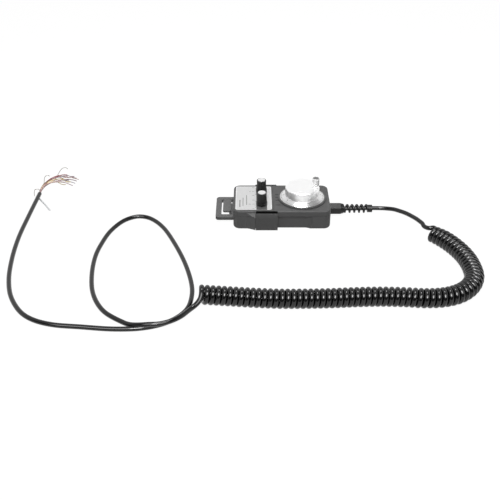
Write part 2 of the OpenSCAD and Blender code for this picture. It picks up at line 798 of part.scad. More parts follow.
// Slotted code disc on its hub
module encoder_disc() {
    color("gray") difference() {
        union() {
            on_wheel(disc_z) cylinder(h = disc_t, r = disc_r);
            on_wheel(disc_z) cylinder(h = 3, r = 5);
        }
        on_wheel(disc_z - 1) cylinder(h = 10, r = shaft_d / 2 + run_gap);
        for (k = [0 : disc_slots - 1]) rotate_about_wheel(360 * k / disc_slots)
            translate([disc_r - 3.4, -0.9, disc_z - 1]) cube([2.4, 1.8, disc_t + 2]);
    }
}

// Cone-shaped dial that turns with the knob
module graduated_dial() {
    edge_r = dial_d / 2;
    seat_r = knob_d / 2 + 0.3;
    color("silver") on_wheel(dial_z0) difference() {
        union() {
            cylinder(h = dial_edge_h, r = edge_r);
            translate([0, 0, dial_edge_h])
                cylinder(h = knob_z0 - dial_z0 - dial_edge_h, r1 = edge_r, r2 = seat_r);
        }
        translate([0, 0, -1]) cylinder(h = 30, r = knob_d / 2 - knob_wall);
        translate([0, 0, -dial_rim_t]) cylinder(h = dial_edge_h, r = edge_r - dial_rim_t);
        translate([0, 0, dial_edge_h - dial_rim_t])
            cylinder(h = knob_z0 - dial_z0 - dial_edge_h, r1 = edge_r - dial_rim_t, r2 = seat_r - dial_rim_t);
        for (a = dial_screw_angles) rotate([0, 0, a]) translate([dial_screw_r, 0, -1]) {
            cylinder(h = 30, d = 2.2);
            cylinder(h = knob_z0 - dial_rim_t - dial_z0 + 1, d = dial_screw_head_d + 0.4);
        }
    }
}

module dial_screws() {
    color("silver") for (a = dial_screw_angles) rotate_about_wheel(a)
        translate([dial_screw_r, 0, knob_z0 - dial_rim_t - 1.1])
            screw_up(2, dial_screw_head_d, 1.1, dial_rim_t + 5);
}

module knob_wheel() {
    r = knob_d / 2;
    cavity_h = knob_h - knob_top_t;
    color("gainsboro") difference() {
        union() {
            on_wheel(knob_z0) rotate_extrude() {
                square([r, knob_h - knob_edge_r]);
                square([r - knob_edge_r, knob_h]);
                translate([r - knob_edge_r, knob_h - knob_edge_r]) circle(knob_edge_r);
            }
            on_wheel(knob_z0 + 2) translate([grip_offset, 0, 0])
                cylinder(h = grip_boss_z - knob_z0 - 2, d = grip_boss_d);
            on_wheel(panel_z + 1.5) cylinder(h = knob_z0 - panel_z, d = hub_d);
        }
        difference() {
            on_wheel(knob_z0 - 1) cylinder(h = cavity_h + 1, r = r - knob_wall);
            on_wheel(panel_z) cylinder(h = 40, d = hub_d);
            on_wheel(knob_z1 - pin_depth - 1) translate([grip_offset, 0, 0])
                cylinder(h = 10, d = pin_d + 4);
        }
        on_wheel(panel_z) cylinder(h = shaft_z1 - panel_z + 0.3, r = shaft_d / 2 + run_gap);
        on_wheel(knob_z1 - pin_depth) translate([grip_offset, 0, 0])
            cylinder(h = 20, r = pin_d / 2 + run_gap);
        for (a = dial_screw_angles) rotate_about_wheel(a)
            translate([dial_screw_r, 0, knob_z0 - 1]) cylinder(h = 6.3, r = 1 + run_gap);
        on_wheel(set_screw_z) rotate([0, -90, 0]) cylinder(h = hub_d, r = 1.5 + run_gap);
    }
}

module knob_set_screw() {
    color("dimgray") on_wheel(set_screw_z) rotate([0, -90, 0])
        translate([0, 0, shaft_d / 2 + 0.1]) cylinder(h = hub_d / 2 - shaft_d / 2 - 0.6, r = 1.5);
}

module on_grip(z) {
    translate([wheel_x + grip_offset, 0, z]) children();
}

module grip_pin() {
    color("dimgray") {
        on_grip(knob_z1 - pin_depth) cylinder(h = grip_z1 - 0.5 - knob_z1 + pin_depth, d = pin_d);
        on_grip(grip_z1 - 0.5 - pin_head_h) cylinder(h = pin_head_h, d = pin_head_d);
    }
}

// Sleeve that spins on its pin
module finger_grip() {
    r = grip_d / 2;
    color("gainsboro") difference() {
        on_grip(grip_z0) rotate_extrude() {
            polygon([[0, 0], [r - 0.5, 0], [r, 0.5], [r, grip_l - 1], [r - 0.9, grip_l], [0, grip_l]]);
        }
        on_grip(grip_z0 - 1) cylinder(h = grip_l + 2, r = pin_d / 2 + run_gap);
        on_grip(grip_z1 - 0.5 - pin_head_h - 0.15) cylinder(h = 10, r = pin_head_d / 2 + 0.15);
    }
}

// ---- Rotary selectors ----

module at_selector(side, z) {
    translate([selector_x, side * selector_gap / 2, z]) children();
}

module selector_switch(side) {
    color("dimgray") difference() {
        union() {
            at_selector(side, ceiling_z - switch_h) cylinder(h = switch_h, r = switch_r);
            at_selector(side, ceiling_z - weld) cylinder(h = bush_z1 - ceiling_z + weld, r = bush_r);
        }
        at_selector(side, ceiling_z - switch_h + 1.5) cylinder(h = 40, r = selector_shaft_d / 2 + run_gap);
    }
}

module selector_nut(side) {
    color("silver") difference() {
        at_selector(side, nut_z) hex(nut_af, nut_t);
        at_selector(side, nut_z - 1) cylinder(h = nut_t + 2, r = bush_r + run_gap);
    }
}

module selector_shaft(side) {
    color("silver") at_selector(side, ceiling_z - switch_h + 1.6)
        cylinder(h = selector_z1 - cap_t - 1.5 - ceiling_z + switch_h - 1.6, d = selector_shaft_d);
}

// Fluted knob with a skirt and a pointer
module selector_knob(side, turn) {
    h = selector_z1 - knob_base_z;
    color("black") at_selector(side, knob_base_z) rotate([0, 0, turn]) difference() {
        union() {
            cylinder(h = h - 0.5, d = selector_d);
            cylinder(h = skirt_z1 - knob_base_z, d = selector_skirt_d);
            translate([0, -1, 0]) cube([selector_skirt_d / 2 + 1.2, 2, skirt_z1 - knob_base_z - 0.8]);
        }
        for (k = [0 : flutes - 1]) rotate([0, 0, 360 * k / flutes])
            translate([selector_d / 2 + 0.35, 0, skirt_z1 - knob_base_z + 0.4]) cylinder(h = h, r = 0.7);
        translate([0, 0, h - cap_t]) cylinder(h = 10, r = cap_r + 0.05);
        translate([0, 0, -1]) cylinder(h = bush_z1 - knob_base_z + 1.2, r = nut_af / sqrt(3) + 0.25);
        translate([0, 0, -1]) cylinder(h = h - cap_t - 0.2, r = selector_shaft_d / 2 + run_gap);
    }
}

module selector_cap(side) {
    color("white") at_selector(side, selector_z1 - cap_t) cylinder(h = cap_t, r = cap_r);
}

module axis_switch() { selector_switch(-1); }
module axis_switch_nut() { selector_nut(-1); }
module axis_shaft() { selector_shaft(-1); }
module axis_knob() { selector_knob(-1, axis_pointer); }
module axis_knob_cap() { selector_cap(-1); }
module range_switch() { selector_switch(1); }
module range_switch_nut() { selector_nut(1); }
module range_shaft() { selector_shaft(1); }
module range_knob() { selector_knob(1, range_pointer); }
module range_knob_cap() { selector_cap(1); }

// ---- Enable buttons ----

// A button on the +Y side: its face stands off the case like a paddle, on a body that slides
// in the pocket. The stem reaches through the pocket's back, and its catch keeps the button
module enable_button() {
    back_y = case_w / 2 - pocket_d + button_travel + 0.3;
    face_y = case_w / 2 + button_out - button_face_t;
    wall_in = case_w / 2 - pocket_d - pocket_back_t;
    catch_y = wall_in - 0.3 - catch_t;
    curve_z = button_z1 - button_curve_h;
    curve_r = (button_curve_h * button_curve_h + button_curve_in * button_curve_in)
        / (2 * button_curve_in);
    color("dimgray") {
        // face, whose upper part leans in
        translate([button_x - button_l / 2, 0, 0]) rotate([90, 0, 90])
            linear_extrude(button_l) {
                translate([face_y, button_z0]) square([button_face_t, curve_z - button_z0]);
                intersection() {
                    translate([face_y, curve_z - 1]) square([button_face_t, button_curve_h + 1]);
                    translate([face_y + button_face_t - curve_r, curve_z]) circle(curve_r, $fn = 200);
                }
            }
        translate([button_x - button_body_l / 2, back_y, button_z0])
            cube([button_body_l, face_y + 0.5 - back_y, button_body_z1 - button_z0]);
        translate([button_x - stem_w / 2, catch_y - stem_past, stem_z - stem_h / 2])
            cube([stem_w, back_y - catch_y + stem_past + 0.5, stem_h]);
        translate([button_x - stem_w / 2 - catch_lip, catch_y, stem_z - stem_h / 2])
            cube([stem_w + 2 * catch_lip, catch_t, stem_h]);
    }
}

module microswitch() {
    catch_y = case_w / 2 - pocket_d - pocket_back_t - 0.3 - catch_t;
    face_y = catch_y - stem_past - button_travel - 0.4;
    color("black") translate([button_x - 6.4, face_y - 5.8, board_top]) cube([12.8, 5.8, 5.8]);
}

module left_button() { mirror([0, 1, 0]) enable_button(); }
module left_microswitch() { mirror([0, 1, 0]) microswitch(); }
module right_button() { enable_button(); }
module right_microswitch() { microswitch(); }

// ---- Boards ----

module main_board() {
    color("green") difference() {
        translate([board_x0, -board_w / 2, board_z]) cube([board_x1 - board_x0, board_w, board_t]);
        for (x = board_post_x, sy = [-1, 1]) translate([x, sy * board_post_y, board_z - 1])
            cylinder(h = board_t + 2, d = 2.3);
    }
}

module board_screws() {
    color("silver") for (x = board_post_x, sy = [-1, 1])
        translate([x, sy * board_post_y, board_top + 1.2]) mirror([0, 0, 1]) screw_up(2, 3.8, 1.2, 3.6);
}

module terminal_block() {
    color("seagreen") difference() {
        translate([board_x0 + 8, -15, board_top]) cube([7, 30, 6]);
        for (k = [-5 : 5]) translate([board_x0 + 12.5, k * 2.6, board_top + 3])
            cylinder(h = 10, d = 1.9);
    }
}

// ---- Free cable ----

module lead_in_cable() {
    color("black") swept_tube(lead_route, cable_d / 2, 12);
}

module curly_cable() {
    color("black") swept_tube(curl_route, curl_d / 2, 12);
}

module cable_tail() {
    color("black") swept_tube(smooth(tail_route, 2), cable_d / 2, 10);
}

// Route of one core: through the bundle, then out to its tip
function core_route(k) =
    let (lean = core_tips[k] - core_middle, layer = core_z + core_d * (k % 3))
    concat(
        [[core_bundle[0][0] + 1.4 * cos(137 * k), core_bundle[0][1], core_bundle_z + 1.4 * sin(137 * k)]],
        [for (i = [1 : len(core_bundle) - 1])
            let (p = core_bundle[i] + core_fan[i] * lean) [p[0], p[1], layer]],
        [[core_tips[k][0], core_tips[k][1], core_z]]);

module core_wires() {
    color("firebrick") for (k = [0 : len(core_tips) - 1]) swept_tube(core_route(k), core_d / 2, 8);
}

module shield_wires() {
    color("silver") for (route = shield_routes)
        swept_tube([for (p = route) [p[0], p[1], core_z]], core_d / 2, 8);
}

rear_shell();
shell_gasket();
front_shell();
case_screws();
label_plate();
hanger_loop();
hanger_screws();
gland_body();
gland_locknut();
gland_seal();
gland_nut();
bezel_ring();
encoder_housing();
encoder_cover();
encoder_screws();
upper_bearing();
lower_bearing();
encoder_board();
encoder_reader();
wheel_shaft();
encoder_disc();
graduated_dial();
dial_screws();
knob_wheel();
knob_set_screw();
grip_pin();
finger_grip();
axis_switch();
axis_switch_nut();
axis_shaft();
axis_knob();
axis_knob_cap();
range_switch();
range_switch_nut();
range_shaft();
range_knob();
range_knob_cap();
left_button();
left_microswitch();
right_button();
right_microswitch();
main_board();
board_screws();
terminal_block();
lead_in_cable();
curly_cable();
cable_tail();
core_wires();
shield_wires();
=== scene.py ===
"""Looks of a pulse generator handwheel: its finishes, printed marks, curly cable and studio."""

import math

import bpy
import numpy as np
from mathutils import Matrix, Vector


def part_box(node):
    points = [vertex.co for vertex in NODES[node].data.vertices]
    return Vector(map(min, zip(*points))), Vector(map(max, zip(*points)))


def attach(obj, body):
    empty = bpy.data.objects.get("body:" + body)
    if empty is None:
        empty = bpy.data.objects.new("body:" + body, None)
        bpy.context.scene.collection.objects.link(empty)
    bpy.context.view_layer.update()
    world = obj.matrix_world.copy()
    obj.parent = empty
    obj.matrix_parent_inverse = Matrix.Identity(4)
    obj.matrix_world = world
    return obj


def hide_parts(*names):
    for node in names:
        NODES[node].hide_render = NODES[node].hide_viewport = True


bl_info = {
    "name": "Pulse Generator Handwheel",
    "version": (1, 0, 0),
    "blender": (4, 5, 0),
    "location": "View3D > Sidebar > Handwheel",
    "description": "Finishes a hand-held pulse generator and lays out its curly cable",
    "category": "Object",
}

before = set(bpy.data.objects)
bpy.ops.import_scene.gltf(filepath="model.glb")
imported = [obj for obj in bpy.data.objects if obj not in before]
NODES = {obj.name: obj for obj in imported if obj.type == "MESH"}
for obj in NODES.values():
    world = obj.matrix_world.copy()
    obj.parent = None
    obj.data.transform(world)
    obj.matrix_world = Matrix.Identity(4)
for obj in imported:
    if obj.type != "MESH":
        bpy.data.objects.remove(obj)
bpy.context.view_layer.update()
MM = 0.001

# Cable routes in millimetres, from the gland to the bare cores
LEAD_ROUTE = [(68, 0, 11), (107, 0, 11), (138, 1, 11), (150, 0, 11.4), (158, -3, 12.5),
              (165, -7, 13.8), (172, -13.3, 14.8), (179, -21, 15.9), (185, -30, 16.8),
              (190, -39.5, 17.9), (194.6, -49.5, 18.3)]
CURL_ROUTE = [(198, -56, 12), (206, -65, 12), (213, -73, 12), (221, -84, 12), (229, -99, 12),
              (236, -119, 12), (239, -141, 12), (237, -165, 12), (227, -184, 12),
              (212, -197, 12), (194, -204, 12), (172, -206, 12), (148, -204, 12),
              (120, -203, 12), (92, -204, 12), (62, -206, 12), (32, -207, 12), (2, -207, 12),
              (-28, -205, 12), (-58, -202, 12), (-88, -199, 12)]
TAIL_ROUTE = [(-100, -224, 8.4), (-108, -235, 8.6), (-119, -244, 8.8), (-131, -249, 8.9),
              (-143, -250, 8.9), (-156, -248, 6.5), (-166, -244, 4.2), (-175, -238, 3.3),
              (-195, -222, 3), (-207, -205, 3), (-217, -181, 3), (-224, -144, 3), (-226, -105, 3),
              (-223, -77, 3), (-216, -46, 3), (-204, -22, 3), (-195, -13, 3), (-184, -8, 3),
              (-172, -10, 3), (-160, -19, 3), (-146, -38, 3), (-128, -77, 3), (-111, -124, 3),
              (-101, -165, 3), (-99, -187, 3), (-102, -212, 3), (-111, -228, 3), (-127, -241, 3),
              (-150, -249, 3), (-180, -250.9, 3), (-220, -247, 3), (-252, -243, 3), (-274, -235, 3),
              (-291, -222, 3), (-310, -193, 3), (-322, -158, 3), (-330, -112, 3), (-334, -62, 3),
              (-334, -5, 3), (-333, 56, 3)]

# Cores: the bundle they share, how far each has left it at its points, and their tips
CORE_BUNDLE = [(-333, 53), (-334, 70), (-331, 86), (-322, 98), (-309, 103)]
CORE_FAN = [0, 0.1, 0.28, 0.58, 0.9]
CORE_MIDDLE = (-294, 98)
CORE_TIPS = [(-288, 98), (-294, 113), (-291, 84), (-299, 109), (-286, 103), (-296, 95),
             (-298, 89), (-302, 87), (-290, 107), (-304, 112), (-289, 91), (-300, 101)]
CORE_Z = 0.8

# Colour of each core beside the jacket and at its tip, and where along X the one turns into the other
CORE_COLOURS = [("8e2f35", "8a6a72"), ("b5434a", "9a7a84"), ("f3c9c4", "b8a0a8"),
                ("6e2a22", "6a5a5a"), ("f6dcd4", "d8b8b0"), ("f4e3a0", "e6cc80"),
                ("fff0c0", "f0d890"), ("f2e4b0", "c8b080"), ("c8a0a0", "8a7a84"),
                ("a83a40", "9a6a70"), ("efe8e0", "b0a8b4"), ("84585c", "6a6068")]
CORE_TURN_X = (-325, -296)

# Loose lengths of the shield, of which the last is a braid that is wider than a core
SHIELD_ROUTES = [
    [(-333, 53), (-335, 64), (-339, 73), (-343.4, 72), (-342.6, 62), (-340, 53)],
    [(-333, 80), (-336, 97), (-338, 111), (-336, 116), (-331, 114)],
    [(-321, 99), (-320, 118), (-318, 137), (-314, 142), (-309, 137)],
    [(-331, 44), (-325, 35), (-318, 25), (-309, 11)]]
BRAID = 3
BRAID_WIDTH = 2.2

# Spacing of the points along the cords, in millimetres
FINE_STEP = 1.5
ROUTE_STEP = 2.0
TAIL_STEP = 3.0


# ---- Settings ----

class HandwheelCable(bpy.types.PropertyGroup):
    """Sizes and colours of the cable and its cores"""
    diameter: bpy.props.FloatProperty(
        name="Cable diameter", description="Outer diameter of the jacket",
        default=0.0058, unit="LENGTH")
    curl_diameter: bpy.props.FloatProperty(
        name="Curl diameter", description="Outer diameter of the curly stretch",
        default=0.0239, unit="LENGTH")
    pitch: bpy.props.FloatProperty(
        name="Curl pitch", description="Distance between two turns of the curl",
        default=0.0067, unit="LENGTH")
    swell: bpy.props.FloatProperty(
        name="Curl swell", description="How much the wound jacket widens against its neighbours",
        default=0.12)
    core_diameter: bpy.props.FloatProperty(
        name="Core diameter", description="Outer diameter of a bare core",
        default=0.0011, unit="LENGTH")
    jacket_colour: bpy.props.FloatVectorProperty(
        name="Jacket colour", description="Colour of the cable's jacket, in sRGB",
        default=(0.055, 0.055, 0.058), subtype="COLOR_GAMMA")


class HandwheelLabel(bpy.types.PropertyGroup):
    """Sizes of the marks printed on the label plate"""
    border: bpy.props.FloatProperty(
        name="Border width", description="Width of the bright border line",
        default=0.0012, unit="LENGTH")
    band: bpy.props.FloatProperty(
        name="Band width", description="Width of the dark band under the selectors",
        default=0.0143, unit="LENGTH")
    print_height: bpy.props.FloatProperty(
        name="Number height", description="Height of the printed numbers",
        default=0.0026, unit="LENGTH")


class HandwheelDial(bpy.types.PropertyGroup):
    """Sizes of the graduations on the dial"""
    graduations: bpy.props.IntProperty(
        name="Graduations", description="Number of marks around the dial", default=100)
    line: bpy.props.FloatProperty(
        name="Line width", description="Width of a graduation", default=0.00028, unit="LENGTH")


class HandwheelStudio(bpy.types.PropertyGroup):
    """Light level of the studio"""
    key_power: bpy.props.FloatProperty(
        name="Key lamp", description="Power of the small lamp above the viewer",
        default=7.5, unit="POWER")
    ceiling_power: bpy.props.FloatProperty(
        name="Ceiling lamp", description="Power of the soft lamp above the object",
        default=5.5, unit="POWER")
    world_level: bpy.props.FloatProperty(
        name="Wall level", description="How much the studio's pale walls light the object",
        default=0.2)


# ---- Tools for materials and meshes ----

def srgb(code):
    """Linear colour, with alpha, of a hex code such as "3c3c3c"."""
    parts = [int(code[i:i + 2], 16) / 255 for i in (0, 2, 4)]
    return tuple(p / 12.92 if p <= 0.04045 else ((p + 0.055) / 1.055) ** 2.4 for p in parts) + (1.0,)


def add_node(tree, kind, settings=None, links=None):
    """Add a node, set its properties and sockets, and link its sockets to other nodes' outputs."""
    node = tree.nodes.new(kind)
    for key, value in (settings or {}).items():
        if isinstance(key, str) and hasattr(node, key):
            setattr(node, key, value)
        else:
            node.inputs[key].default_value = value
    for key, source in (links or {}).items():
        output = source if isinstance(source, bpy.types.NodeSocket) else source.outputs[0]
        tree.links.new(output, node.inputs[key])
    return node


def new_material(name):
    """An empty material with its output, and its node tree."""
    material = bpy.data.materials.new(name)
    material.use_nodes = True
    tree = material.node_tree
    tree.nodes.clear()
    add_node(tree, "ShaderNodeOutputMaterial")
    return material, tree


def finish_surface(tree, shader):
    tree.links.new(shader.outputs[0], tree.nodes["Material Output"].inputs["Surface"])


def principled(tree, settings, links):
    """Close a material with a principled shader."""
    finish_surface(tree, add_node(tree, "ShaderNodeBsdfPrincipled", settings, links))


def noise(tree, size, detail):
    """Noise over the piece, whose grain has a size in millimetres."""
    place = add_node(tree, "ShaderNodeTexCoord")
    grain = add_node(tree, "ShaderNodeTexNoise", {"Scale": 1 / (size * MM), "Detail": detail},
                     {"Vector": place.outputs["Object"]})
    return grain.outputs["Fac"]


def from_centre(tree, centre):
    """Place on the piece, measured from a centre."""
    place = add_node(tree, "ShaderNodeTexCoord")
    return add_node(tree, "ShaderNodeVectorMath", {"operation": "SUBTRACT", 1: centre},
                    {0: place.outputs["Object"]})


def calculate(tree, operation, *terms):
    """Maths on terms that are numbers or other nodes' outputs."""
    numbers = {k: term for k, term in enumerate(terms) if isinstance(term, (int, float))}
    links = {k: term for k, term in enumerate(terms) if k not in numbers}
    return add_node(tree, "ShaderNodeMath", {"operation": operation, **numbers}, links)


def map_range(tree, source, start, end, low=0.0, high=1.0):
    """Low where the source is at its start, high at its end, and held beyond them."""
    return add_node(tree, "ShaderNodeMapRange", {1: start, 2: end, 3: low, 4: high}, {0: source})


def blend(tree, factor, first, second):
    """Colour that goes from one to another with a factor."""
    shade = add_node(tree, "ShaderNodeMix", {"data_type": "RGBA"}, {0: factor})
    shade.inputs[6].default_value = first
    shade.inputs[7].default_value = second
    return shade.outputs[2]


def toned(colour, factor):
    """Linear colour of a hex code, made darker or lighter."""
    return tuple(factor * c for c in srgb(colour)[:3]) + (1,)


def relief(tree, strength, depth, height):
    """Bump of a depth in millimetres from the height that another node gives."""
    return add_node(tree, "ShaderNodeBump", {"Strength": strength, "Distance": depth * MM},
                    {"Height": height})


def dress(name, material):
    """Give a CAD node its material."""
    node = NODES[name]
    node.data.materials.clear()
    node.data.materials.append(material)
    for polygon in node.data.polygons:
        polygon.material_index = 0


def mesh_piece(name, vertices, faces, material, body, slot, smooth=False):
    """A new mesh object, in millimetres, that rides on a body."""
    data = bpy.data.meshes.new(name)
    data.from_pydata([Vector(v) * MM for v in vertices], [], faces)
    data.update()
    data.materials.append(material)
    if smooth:
        data.shade_smooth()
    piece = bpy.data.objects.new(name, data)
    bpy.context.scene.collection.objects.link(piece)
    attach(piece, body)
    return piece


def curve_piece(name, points, diameter, material, body, rounds=5, swell=None):
    """A round cord along points in millimetres, as one open spline, with its swell at each."""
    data = bpy.data.curves.new(name, "CURVE")
    data.dimensions = "3D"
    data.bevel_depth = diameter / 2
    data.bevel_resolution = rounds
    data.use_fill_caps = True
    spline = data.splines.new("POLY")
    spline.points.add(len(points) - 1)
    for target, point in zip(spline.points, points):
        target.co = (*(Vector(point) * MM), 1)
    for target, more in zip(spline.points, swell or []):
        target.radius = 1 + more
    spline.use_smooth = True
    data.materials.append(material)
    piece = bpy.data.objects.new(name, data)
    bpy.context.scene.collection.objects.link(piece)
    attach(piece, body)
    return piece


def smooth_path(points, step):
    """Centripetal Catmull-Rom curve through the points, about a step apart."""
    p = [np.array(q, float) for q in points]
    p = [2 * p[0] - p[1]] + p + [2 * p[-1] - p[-2]]
    path = []
    for a, b, c, d in zip(p, p[1:], p[2:], p[3:]):
        ab, bc, cd = (max(np.linalg.norm(v), 1e-6) ** 0.5 for v in (b - a, c - b, d - c))
        out = (b - a) / ab - (c - a) / (ab + bc) + (c - b) / bc
        into = (c - b) / bc - (d - b) / (bc + cd) + (d - c) / cd
        count = max(1, round(float(np.linalg.norm(c - b)) / step))
        for k in range(count):
            path.append(hermite(b, bc * out, c, bc * into, k / count))
    path.append(p[-2])
    return path


def hermite(a, slope_a, b, slope_b, t):
    """Point of the cubic that leaves a and reaches b with the given slopes."""
    return ((2 * t ** 3 - 3 * t * t + 1) * a + (t ** 3 - 2 * t * t + t) * slope_a
            + (3 * t * t - 2 * t ** 3) * b + (t ** 3 - t * t) * slope_b)


def bridge(first, second, step):
    """Points between the end of one path and the start of another, in line with both."""
    a, b = first[-1], second[0]
    span = float(np.linalg.norm(b - a))
    pull = 1.2 * span
    leave = pull * unit(a - first[-2])
    arrive = pull * unit(second[1] - b)
    count = max(2, round(1.3 * span / step))
    return [hermite(a, leave, b, arrive, k / count) for k in range(1, count)]


def unit(v):
    return v / np.linalg.norm(v)


def prisms(outlines, z0, z1):
    """Vertices and faces of flat prisms over closed outlines."""
    vertices, faces = [], []
    for outline in outlines:
        n, first = len(outline), len(vertices)
        vertices += [(x, y, z0) for x, y in outline] + [(x, y, z1) for x, y in outline]
        faces.append([first + k for k in reversed(range(n))])
        faces.append([first + n + k for k in range(n)])
        faces += [[first + k, first + (k + 1) % n, first + n + (k + 1) % n, first + n + k]
                  for k in range(n)]
    return vertices, faces


def rounded_outline(x0, x1, y0, y1, r, steps=8):
    corners = [(x1 - r, y1 - r, 0), (x0 + r, y1 - r, 90), (x0 + r, y0 + r, 180), (x1 - r, y0 + r, 270)]
    return [(cx + r * math.cos(math.radians(a + 90 * k / steps)),
             cy + r * math.sin(math.radians(a + 90 * k / steps)))
            for cx, cy, a in corners for k in range(steps + 1)]


def frame_prism(outer, inner, z0, z1):
    """Vertices and faces of a flat frame between two outlines of the same count."""
    n = len(outer)
    vertices = [(x, y, z) for z in (z0, z1) for ring in (outer, inner) for x, y in ring]
    faces = []
    for k in range(n):
        j = (k + 1) % n
        faces += [[k, n + k, n + j, j], [2 * n + k, 2 * n + j, 3 * n + j, 3 * n + k],
                  [k, j, 2 * n + j, 2 * n + k], [n + j, n + k, 3 * n + k, 3 * n + j]]
    return vertices, faces


def stroke(x, y, length, width, angle):
    """Outline of a straight stroke centred on a point, pointing along an angle in degrees."""
    c, s = math.cos(math.radians(angle)), math.sin(math.radians(angle))
    return [(x + u * c - v * s, y + u * s + v * c)
            for u, v in ((-length / 2, -width / 2), (length / 2, -width / 2),
                         (length / 2, width / 2), (-length / 2, width / 2))]


def number_mesh(value, height):
    """Vertices and faces of a plain number, centred on the origin, in millimetres."""
    text = bpy.data.curves.new("number", "FONT")
    text.body = str(value)
    text.size = height / 0.7
    text.align_x = "CENTER"
    text.align_y = "CENTER"
    text.resolution_u = 3
    text.extrude = 0.02
    carrier = bpy.data.objects.new("number", text)
    bpy.context.scene.collection.objects.link(carrier)
    bpy.context.view_layer.update()
    mesh = bpy.data.meshes.new_from_object(carrier)
    vertices = [tuple(v.co) for v in mesh.vertices]
    faces = [list(p.vertices) for p in mesh.polygons]
    bpy.data.objects.remove(carrier)
    bpy.data.meshes.remove(mesh)
    bpy.data.curves.remove(text)
    return vertices, faces


def gather(groups):
    """One list of vertices and faces from several."""
    vertices, faces = [], []
    for some_vertices, some_faces in groups:
        first = len(vertices)
        vertices += some_vertices
        faces += [[first + i for i in face] for face in some_faces]
    return vertices, faces


# ---- Materials ----

def moulded_abs(name, colour, roughness=0.6, grain=0.5, depth=0.10):
    """Moulded ABS with a spark-eroded surface: a dull sheen broken by an even grain. The real
    grain is about 0.1 mm, and it is drawn coarser so that it shows."""
    material, tree = new_material(name)
    fine = noise(tree, grain, 2.0)
    shade = blend(tree, noise(tree, 26, 3.0), toned(colour, 0.9), toned(colour, 1.12))
    rough = map_range(tree, fine, 0, 1, roughness - 0.05, roughness + 0.06)
    principled(tree, {"IOR": 1.46}, {"Base Color": shade, "Roughness": rough,
                                     "Normal": relief(tree, depth, 0.05, fine)})
    return material


def smooth_plastic(name, colour, roughness, ior=1.5):
    """Moulded smooth plastic: clean reflections with the slight waviness of a moulded skin."""
    material, tree = new_material(name)
    waves = noise(tree, 3.5, 2.0)
    rough = map_range(tree, waves, 0, 1, roughness * 0.85, roughness * 1.2)
    principled(tree, {"Base Color": srgb(colour), "IOR": ior},
               {"Roughness": rough, "Normal": relief(tree, 0.12, 0.04, waves)})
    return material


def turned_metal(name, colour, roughness, centre, ring=0.35, depth=0.05, metal=1.0):
    """Turned metal: fine rings around the axis that the tool leaves, which spread its
    reflections. The real feed is about 0.1 mm, and it is drawn coarser so that it shows."""
    material, tree = new_material(name)
    flat = add_node(tree, "ShaderNodeVectorMath", {"operation": "MULTIPLY", 1: (1, 1, 0)},
                    {0: from_centre(tree, centre)})
    radius = add_node(tree, "ShaderNodeVectorMath", {"operation": "LENGTH"}, {0: flat})
    waves = calculate(tree, "MULTIPLY", radius.outputs["Value"], 2 * math.pi / (ring * MM))
    groove = calculate(tree, "SINE", waves)
    rough = map_range(tree, noise(tree, 8, 4.0), 0, 1, roughness * 0.8, roughness * 1.25)
    principled(tree, {"Base Color": srgb(colour), "Metallic": metal},
               {"Roughness": rough, "Normal": relief(tree, depth, 0.02, groove)})
    return material


def knurled_metal(name, colour, top_shade_colour, centre, radius, top):
    """Satin nickel plate with a diamond knurl, which evens out its reflections, and an end face that is
    painted greyer: a painted shade for the darker look of its top."""
    tooth = 0.8
    material, tree = new_material(name)
    axes = add_node(tree, "ShaderNodeSeparateXYZ", None, {0: from_centre(tree, centre)})
    angle = calculate(tree, "ARCTAN2", axes.outputs["Y"], axes.outputs["X"])
    around = calculate(tree, "MULTIPLY", angle, float(round(2 * math.pi * radius / tooth)))
    up = calculate(tree, "MULTIPLY", axes.outputs["Z"], 2 * math.pi / (tooth * MM))
    ridges = [calculate(tree, "SINE", calculate(tree, way, around, up)) for way in ("ADD", "SUBTRACT")]
    diamonds = calculate(tree, "ADD", *ridges)
    # Painted shade: the end face at the top is drawn greyer than the knurl
    end = map_range(tree, axes.outputs["Z"], top - 0.3 * MM, top - 0.1 * MM)
    shade = blend(tree, end, srgb(colour), srgb(top_shade_colour))
    principled(tree, {"Metallic": 0.15, "Roughness": 0.6},
               {"Base Color": shade, "Normal": relief(tree, 0.2, 0.1, diamonds)})
    return material


def plain_metal(name, colour, roughness):
    """Ground or plated steel: a grey metal with faint blotches from handling."""
    material, tree = new_material(name)
    rough = map_range(tree, noise(tree, 2.5, 4.0), 0, 1, roughness * 0.7, roughness * 1.3)
    principled(tree, {"Base Color": srgb(colour), "Metallic": 1.0}, {"Roughness": rough})
    return material


def printed_ink(name, colour):
    """Screen-printed ink: flat and dull, with a little unevenness from the mesh."""
    material, tree = new_material(name)
    shade = blend(tree, noise(tree, 1.2, 2.0), toned(colour, 0.92), toned(colour, 1.06))
    principled(tree, {"Roughness": 0.55, "IOR": 1.45}, {"Base Color": shade})
    return material


def anodised_label(name, colour):
    """Anodised aluminium sheet: silver grey with a fine brushed grain that runs across it."""
    material, tree = new_material(name)
    place = add_node(tree, "ShaderNodeTexCoord")
    stretch = add_node(tree, "ShaderNodeMapping", {"Scale": (1 / (0.4 * MM), 1 / (14 * MM), 1 / MM)},
                       {"Vector": place.outputs["Object"]})
    grain = add_node(tree, "ShaderNodeTexNoise", {"Scale": 1.0, "Detail": 3.0}, {"Vector": stretch})
    brushed = grain.outputs["Fac"]
    shade = blend(tree, brushed, toned(colour, 0.9), toned(colour, 1.08))
    principled(tree, {"Metallic": 0.25, "Roughness": 0.42, "IOR": 1.5},
               {"Base Color": shade, "Normal": relief(tree, 0.08, 0.02, brushed)})
    return material


